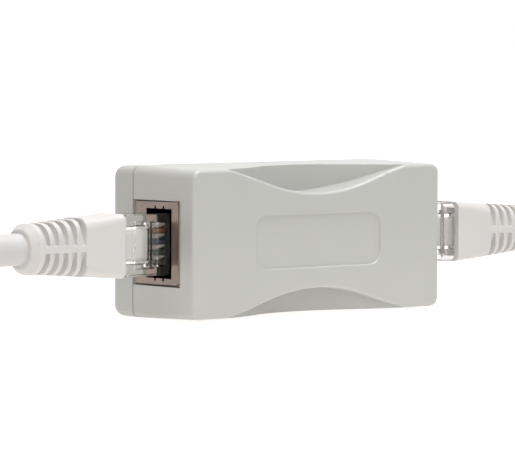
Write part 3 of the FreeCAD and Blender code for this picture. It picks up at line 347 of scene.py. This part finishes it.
def soften_edges(item, width, segments):
    """Rounds the sharp edges a little, as a mould or a press leaves them."""
    bevel = item.modifiers.new("edges", "BEVEL")
    bevel.width = width
    bevel.segments = segments
    bevel.limit_method = "ANGLE"
    bevel.angle_limit = SHARP_ANGLE
    bevel.harden_normals = True
    bevel.use_clamp_overlap = False
    normals = item.modifiers.new("normals", "WEIGHTED_NORMAL")
    normals.keep_sharp = True


def join_rows(work, pairs):
    """Smooth faces between each pair of closed rows of points."""
    for first, second in pairs:
        for n in range(len(first)):
            m = (n + 1) % len(first)
            work.faces.new((first[n], first[m], second[m], second[n])).smooth = True


def body_of(node):
    bodies = frame["record"]["behaviour"]["bodies"]
    return next(body for body, members in bodies.items() if node in members)


def dress(node, slot, edge=None, segments=2):
    """Stands a finished piece in the place of one CAD node."""
    item = new_object(node + "_piece", clean_mesh(node), finishes[slot])
    if edge:
        soften_edges(item, edge, segments)
    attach(item, body_of(node))
    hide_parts(node)


# The housing's edges are rounded in its material
dress("front_shell", "white_housing")
dress("rear_cover", "white_housing")
dress("cover_screws", "zinc_screw", 0.08 * MM)
dress("circuit_board", "green_board", 0.05 * MM, 1)
for number in range(1, 5):
    dress(f"isolation_transformer_{number}", "black_transformer", 0.06 * MM)
dress("termination_resistors", "chip_body", 0.03 * MM, 1)
dress("termination_capacitors", "capacitor_body", 0.05 * MM, 1)
for side in SIDES:
    dress(f"{side}_socket_shield", "nickel_shield", 0.05 * MM)
    dress(f"{side}_socket_insert", "black_insert", 0.08 * MM)
    dress(f"{side}_socket_contacts", "gold_contact", 0.05 * MM, 1)
    for place in ("", "far_"):
        dress(f"{side}_{place}plug", "clear_plug", 0.1 * MM)
        dress(f"{side}_{place}plug_latch", "clear_plug", 0.12 * MM)
        dress(f"{side}_{place}plug_contacts", "gold_contact", 0.03 * MM, 1)
        dress(f"{side}_{place}boot", "light_boot", 0.2 * MM)

# Wires in the plugs

WIRE_SIDES = 24
WIRE_RINGS = 24
# The rounded end of a wire: shares of its length and of its radius
WIRE_END = ((0.0, 0.0), (0.0, 0.82), (0.004, 0.97))
WIRE_SAME_PLACE = 1e-8
# The squeezed jacket end: shares of half its length, from its middle, and of its width
JACKET_PROFILE = ((-1, 0.84), (-1, 0.92), (-0.97, 1.0), (0.97, 1.0), (1, 0.92), (1, 0.84))
JACKET_CORNER = 1.6 * MM
JACKET_STEPS = 6


def solid_boxes(node):
    """The low and high corners of each separate solid in one CAD node."""
    work = bmesh.new()
    work.from_mesh(frame["nodes"][node].data)
    bmesh.ops.remove_doubles(work, verts=work.verts, dist=SOLID_SAME_PLACE)
    boxes = []
    unseen = set(work.faces)
    while unseen:
        waiting = [unseen.pop()]
        spots = []
        while waiting:
            face = waiting.pop()
            spots += [vert.co for vert in face.verts]
            for edge in face.edges:
                for other in edge.link_faces:
                    if other in unseen:
                        unseen.remove(other)
                        waiting.append(other)
        low = Vector(min(spot[axis] for spot in spots) for axis in range(3))
        high = Vector(max(spot[axis] for spot in spots) for axis in range(3))
        boxes.append((low, high))
    work.free()
    return boxes


def wire_mesh(name, start, end, radius):
    """A straight wire with rounded ends, unwrapped round and along."""
    along = end - start
    turn = along.to_track_quat("Z", "Y").to_matrix()
    work = bmesh.new()
    layer = work.loops.layers.uv.new("UVMap")
    stations = list(WIRE_END)
    stations += [(n / WIRE_RINGS, 1.0) for n in range(1, WIRE_RINGS)]
    stations += [(1 - share, size) for share, size in reversed(WIRE_END)]
    rows = []
    for share, size in stations:
        row = []
        for n in range(WIRE_SIDES):
            angle = 2 * math.pi * n / WIRE_SIDES
            across = Vector((math.cos(angle), math.sin(angle), 0)) * radius * size
            row.append(work.verts.new(start + along * share + turn @ across))
        rows.append(row)
    for level in range(len(rows) - 1):
        for n in range(WIRE_SIDES):
            ring = [
                (level, n), (level, n + 1), (level + 1, n + 1), (level + 1, n)
            ]
            face = work.faces.new([rows[row][column % WIRE_SIDES] for row, column in ring])
            face.smooth = True
            for loop, (row, column) in zip(face.loops, ring):
                travelled = stations[row][0] * along.length / (2 * math.pi * radius)
                loop[layer].uv = (column / WIRE_SIDES, travelled)
    bmesh.ops.remove_doubles(work, verts=work.verts, dist=WIRE_SAME_PLACE)
    return finish_mesh(work, name)


def jacket_mesh(name, low, high):
    """The squeezed end of the jacket: a rounded bar along X with softened ends."""
    half = (high - low) / 2
    middle = (low + high) / 2
    outline = []
    for quarter, (side_y, side_z) in enumerate(((1, 1), (-1, 1), (-1, -1), (1, -1))):
        centre = Vector(
            (0, side_y * (half.y - JACKET_CORNER), side_z * (half.z - JACKET_CORNER))
        )
        for n in range(JACKET_STEPS + 1):
            angle = math.pi / 2 * (quarter + n / JACKET_STEPS)
            outline.append(centre + Vector((0, math.cos(angle), math.sin(angle))) * JACKET_CORNER)
    work = bmesh.new()
    rows = []
    for along, scale in JACKET_PROFILE:
        shift = Vector((middle.x + along * half.x, middle.y, middle.z))
        rows.append([
            work.verts.new(shift + Vector((0, spot.y * scale, spot.z * scale)))
            for spot in outline
        ])
    join_rows(work, zip(rows, rows[1:]))
    work.faces.new(list(reversed(rows[0])))
    work.faces.new(rows[-1])
    bmesh.ops.recalc_face_normals(work, faces=work.faces)
    return finish_mesh(work, name)


def dress_wires(node, order_up):
    """Replaces the plug's plain wires, counted from the first contact."""
    boxes = solid_boxes(node)
    widths = [sorted(high - low)[1] for low, high in boxes]
    wires = [box for box, wide in zip(boxes, widths) if wide < 3 * WIRE_RADIUS]
    jacket = next(box for box, wide in zip(boxes, widths) if wide >= 3 * WIRE_RADIUS)
    lows = [low for low, high in wires]
    spread = [max(low[k] for low in lows) - min(low[k] for low in lows) for k in range(3)]
    row_axis = spread.index(max(spread))
    wires.sort(key=lambda box: box[0][row_axis] * order_up)
    body = body_of(node)
    for count, ((low, high), (hue, striped)) in enumerate(zip(wires, WIRE_ORDER), 1):
        middle = (low + high) / 2
        start = Vector((low.x, middle.y, middle.z))
        end = Vector((high.x, middle.y, middle.z))
        mesh = wire_mesh(f"{node}_{count}_shape", start, end, WIRE_RADIUS)
        item = new_object(f"{node}_wire_{count}", mesh, wire_finishes[hue, striped])
        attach(item, body)
        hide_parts(node)
    low, high = jacket
    mesh = jacket_mesh(f"{node}_jacket_shape", low, high)
    item = new_object(f"{node}_jacket_end", mesh, finishes["cable_jacket"])
    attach(item, body)
    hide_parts(node)


# The first contact is up on the left plug and down on the right one. Both free plugs lie
# with their contacts down.
dress_wires("left_plug_wires", -1)
dress_wires("right_plug_wires", 1)
dress_wires("left_far_plug_wires", 1)
dress_wires("right_far_plug_wires", -1)

# Cords

# The right cord's route in millimetres: along X, sideways from the plug's axis, and height.
# The left cord's is the same turned half round. Each starts straight out of its own boot, and
# the first points are the CAD route's.
BOOT_END = {side: max(abs(corner.x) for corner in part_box(f"{side}_boot")) for side in SIDES}
LEAD_IN = [
    (78.5, 0.0, 14.522),
    (91.0, 1.8, 13.0),
    (105.0, 7.0, 8.7),
    (118.5, 13.2, 5.0),
    (130.5, 17.2, 3.2),
    (141.0, 18.0, 3.0),
]
TURN_RADIUS = 18.0
NEAR_TURN = 100.0
FAR_TURN = 157.0
LOWER = 3.0
UPPER = 9.1
TURN_STEPS = 6
LEAD_OUT = [
    (147.0, -18.0, UPPER),
    (141.0, -17.2, 9.9),
    (136.0, -16.1, 10.7),
    (131.0, -15.9, 10.75),
]
# How finely the cord's line and its round section are drawn
LINE_STEPS = 10
SECTION_STEPS = 10


def half_turn(centre, start_side, level, rise=0.0):
    """Control points of half a turn at one end of the hank, from one run to the other."""
    outwards = 1 if centre == FAR_TURN else -1
    reach = TURN_RADIUS / math.cos(math.pi / TURN_STEPS / 2)
    points = []
    for n in range(TURN_STEPS):
        angle = math.pi * (n + 0.5) / TURN_STEPS
        across = start_side * math.cos(angle) * reach
        along = centre + outwards * math.sin(angle) * reach
        points.append((along, across, level + rise * (n + 0.5) / TURN_STEPS))
    return points


def cord_points(boot_end):
    """Control points of one cord in millimetres: twice round the hank and out to the far boot."""
    points = [(boot_end / MM, 0.0, AXIS_HEIGHT / MM), *LEAD_IN]
    points += half_turn(FAR_TURN, 1, LOWER)
    points += [(140.0, -TURN_RADIUS, LOWER), (118.0, -TURN_RADIUS, LOWER)]
    points += half_turn(NEAR_TURN, -1, LOWER, 0.8)
    points += [
        (104.0, TURN_RADIUS, 4.6),
        (113.0, TURN_RADIUS, 8.0),
        (122.0, TURN_RADIUS, 9.6),
        (134.0, TURN_RADIUS, UPPER),
        (148.0, TURN_RADIUS, UPPER),
    ]
    points += half_turn(FAR_TURN, 1, UPPER)
    return points + LEAD_OUT


def lay_cord(side):
    """A lead's cord from its boot to the far boot, folded in its hank."""
    sign = SIDES[side]
    curve = bpy.data.curves.new(f"{side}_cord_line", "CURVE")
    curve.dimensions = "3D"
    curve.bevel_depth = CORD_RADIUS
    curve.bevel_resolution = SECTION_STEPS
    curve.resolution_u = LINE_STEPS
    curve.use_fill_caps = True
    spline = curve.splines.new("NURBS")
    points = cord_points(BOOT_END[side])
    spline.points.add(len(points) - 1)
    for spot, (along, across, height) in zip(spline.points, points):
        spot.co = (sign * along * MM, AXIS_SIDEWAYS + sign * across * MM, height * MM, 1)
    spline.order_u = 3
    spline.use_endpoint_u = True
    item = new_object(f"{side}_cord_piece", curve, finishes["cable_jacket"])
    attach(item, f"{side}_lead")
    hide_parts(f"{side}_cord", f"{side}_hank")
    return item


TIE_PLACE = 148.0
TIE_THICKNESS = 0.7 * MM
TIE_WIDTH = 3.2 * MM
# The tie's inner face stands off the cord, and its underside off the floor
TIE_PLAY = 0.05 * MM
TIE_LIFT = 0.02 * MM
TIE_STEPS = 10
# The tie's section: shares of its width, from its middle, and of its thickness
TIE_PROFILE = ((-0.5, 0.0), (-0.5, 0.8), (-0.42, 1.0), (0.42, 1.0), (0.5, 0.8), (0.5, 0.0))


def tie_mesh(name, place, across):
    """A flat band drawn round two stacked turns of cord."""
    loop = []
    for start, centre in ((0, UPPER * MM), (1, CORD_RADIUS)):
        for n in range(TIE_STEPS + 1):
            angle = math.pi * (start + n / TIE_STEPS)
            loop.append((math.cos(angle), math.sin(angle), centre))
    work = bmesh.new()
    rows = []
    for along, reach in TIE_PROFILE:
        row = []
        size = CORD_RADIUS + TIE_PLAY + TIE_THICKNESS * reach
        for side_y, side_z, centre in loop:
            height = max(centre + side_z * size, TIE_LIFT)
            spot = (place + along * TIE_WIDTH, across + side_y * size, height)
            row.append(work.verts.new(spot))
        rows.append(row)
    join_rows(work, zip(rows, rows[1:] + rows[:1]))
    bmesh.ops.recalc_face_normals(work, faces=work.faces)
    return finish_mesh(work, name)


def lay_ties(side):
    """The two ties round one hank."""
    sign = SIDES[side]
    ties = []
    for name, across in (("entry", TURN_RADIUS), ("exit", -TURN_RADIUS)):
        mesh = tie_mesh(
            f"{side}_{name}_tie_shape", sign * TIE_PLACE * MM, AXIS_SIDEWAYS + sign * across * MM
        )
        item = new_object(f"{side}_{name}_tie", mesh, finishes["cable_tie"])
        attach(item, f"{side}_lead")
        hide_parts(f"{side}_hank_ties")
        ties.append(item)
    return ties


for side in SIDES:
    cord = lay_cord(side)
    ties = lay_ties(side)
    far_pieces = [
        f"{side}_far_plug_piece", f"{side}_far_plug_latch_piece",
        f"{side}_far_plug_contacts_piece", f"{side}_far_boot_piece",
        f"{side}_far_plug_wires_jacket_end",
    ]
    far_pieces += [f"{side}_far_plug_wires_wire_{n}" for n in range(1, len(WIRE_ORDER) + 1)]

# Floor, light and camera

FLOOR_REACH = 6.0
FLOOR_DROP = 0.05 * MM
# The floor's glow as the camera sees it
FLOOR_WHITE = 0.8
# The glow that it sends up at the object, from its middle out to a distance in metres
BOUNCE_COLOUR = (1, 0.955, 0.935)
BOUNCE_NEAR = 0.64
BOUNCE_FAR = 0.18
BOUNCE_REACH = 0.3


def make_floor():
    """A plain pale floor that keeps the object's shadow and sends soft light up at it."""
    mesh = bpy.data.meshes.new("floor_shape")
    corners = [
        (x * FLOOR_REACH, y * FLOOR_REACH, -FLOOR_DROP)
        for x, y in ((-1, -1), (1, -1), (1, 1), (-1, 1))
    ]
    mesh.from_pydata(corners, [], [(0, 1, 2, 3)])
    made = Finish(
        "floor", srgb(188, 188, 186), 0.9,
        Specular_IOR_Level=0.1, Emission_Color=(*BOUNCE_COLOUR, 1),
    )
    item = new_object("floor", mesh, made.material)
    place = made.add("ShaderNodeTexCoord")
    away = made.add("ShaderNodeVectorMath", operation="LENGTH")
    made.links.new(place.outputs["Object"], away.inputs[0])
    bounce = made.span(away.outputs["Value"], BOUNCE_NEAR, BOUNCE_FAR, 0, BOUNCE_REACH)
    ray = made.add("ShaderNodeLightPath")
    white = made.add("ShaderNodeMath", operation="MAXIMUM")
    made.links.new(ray.outputs["Is Camera Ray"], white.inputs[0])
    made.links.new(ray.outputs["Is Transmission Ray"], white.inputs[1])
    pick = made.add("ShaderNodeMix", data_type="FLOAT")
    pick.inputs[SECOND_NUMBER].default_value = FLOOR_WHITE
    made.links.new(white.outputs[0], pick.inputs[FACTOR])
    made.links.new(bounce, pick.inputs[FIRST_NUMBER])
    made.links.new(pick.outputs[MIXED_NUMBER], made.shader.inputs["Emission Strength"])


AMBIENT = 0.06
WARM_SIDE = (1, 0.93, 0.89)
# Each lamp's strength, spread in degrees, the way that its light travels and its colour
LAMPS = {
    "key": (3.1, 60, (-0.12, 0.1, -1), (1, 1, 1)),
    "front": (0.58, 30, (0.37, 0.93, -0.44), (0.98, 1, 0.985)),
    "side": (0.52, 80, (0.95, 0, -0.3), (1, 0.85, 0.77)),
}


def make_light():
    """A faint even surround and three soft lamps, behind a white background."""
    world = bpy.data.worlds.new("studio")
    bpy.context.scene.world = world
    world.use_nodes = True
    nodes = world.node_tree.nodes
    links = world.node_tree.links
    ray = nodes.new("ShaderNodeLightPath")
    seen = ray.outputs["Is Camera Ray"]
    for kind in ("Is Glossy Ray", "Is Transmission Ray"):
        either = nodes.new("ShaderNodeMath")
        either.operation = "MAXIMUM"
        links.new(seen, either.inputs[0])
        links.new(ray.outputs[kind], either.inputs[1])
        seen = either.outputs[0]
    plain = nodes["Background"]
    white = nodes.new("ShaderNodeBackground")
    for background, strength in ((plain, AMBIENT), (white, 1.0)):
        background.inputs["Color"].default_value = (1, 1, 1, 1)
        background.inputs["Strength"].default_value = strength
    place = nodes.new("ShaderNodeTexCoord")
    split = nodes.new("ShaderNodeSeparateXYZ")
    links.new(place.outputs["Generated"], split.inputs[0])
    tint = nodes.new("ShaderNodeMix")
    tint.data_type = "RGBA"
    tint.inputs[FIRST_COLOUR].default_value = (*WARM_SIDE, 1)
    tint.inputs[SECOND_COLOUR].default_value = (1, 1, 1, 1)
    links.new(split.outputs["X"], tint.inputs[FACTOR])
    links.new(tint.outputs[MIXED_COLOUR], plain.inputs["Color"])
    pick = nodes.new("ShaderNodeMixShader")
    links.new(seen, pick.inputs[0])
    links.new(plain.outputs[0], pick.inputs[1])
    links.new(white.outputs[0], pick.inputs[2])
    links.new(pick.outputs[0], nodes["World Output"].inputs["Surface"])
    for name, (strength, spread, way, colour) in LAMPS.items():
        light = bpy.data.lights.new(name, "SUN")
        light.energy = strength
        light.color = colour
        light.angle = math.radians(spread)
        lamp = bpy.data.objects.new(name, light)
        bpy.context.scene.collection.objects.link(lamp)
        lamp.rotation_euler = Vector(way).to_track_quat("-Z", "Y").to_euler()


CAMERA_PLACE = Vector((-0.49984, -0.56056, 0.05594))
CAMERA_HEADING = math.radians(41.43)
CAMERA_FALL = math.radians(3.05)
CAMERA_ROLL = math.radians(0.25)
CAMERA_LENS = 269.4
SENSOR_WIDTH = 36.0
NEAREST_SEEN = 0.01
FARTHEST_SEEN = 50


def make_camera():
    """The camera at the photograph's viewing angle."""
    data = bpy.data.cameras.new("camera")
    data.lens = CAMERA_LENS
    data.sensor_width = SENSOR_WIDTH
    data.clip_start = NEAREST_SEEN
    data.clip_end = FARTHEST_SEEN
    item = bpy.data.objects.new("camera", data)
    bpy.context.scene.collection.objects.link(item)
    ahead = Vector((
        math.sin(CAMERA_HEADING) * math.cos(CAMERA_FALL),
        math.cos(CAMERA_HEADING) * math.cos(CAMERA_FALL),
        -math.sin(CAMERA_FALL),
    ))
    level = Vector((math.cos(CAMERA_HEADING), -math.sin(CAMERA_HEADING), 0))
    above = level.cross(ahead)
    cosine = math.cos(CAMERA_ROLL)
    sine = math.sin(CAMERA_ROLL)
    right = level * cosine + above * sine
    up = above * cosine - level * sine
    turn = Matrix((right, up, -ahead)).transposed()
    item.matrix_world = Matrix.Translation(CAMERA_PLACE) @ turn.to_4x4()
    bpy.context.scene.camera = item


make_floor()
make_light()
make_camera()
bpy.context.scene.view_settings.view_transform = "Standard"
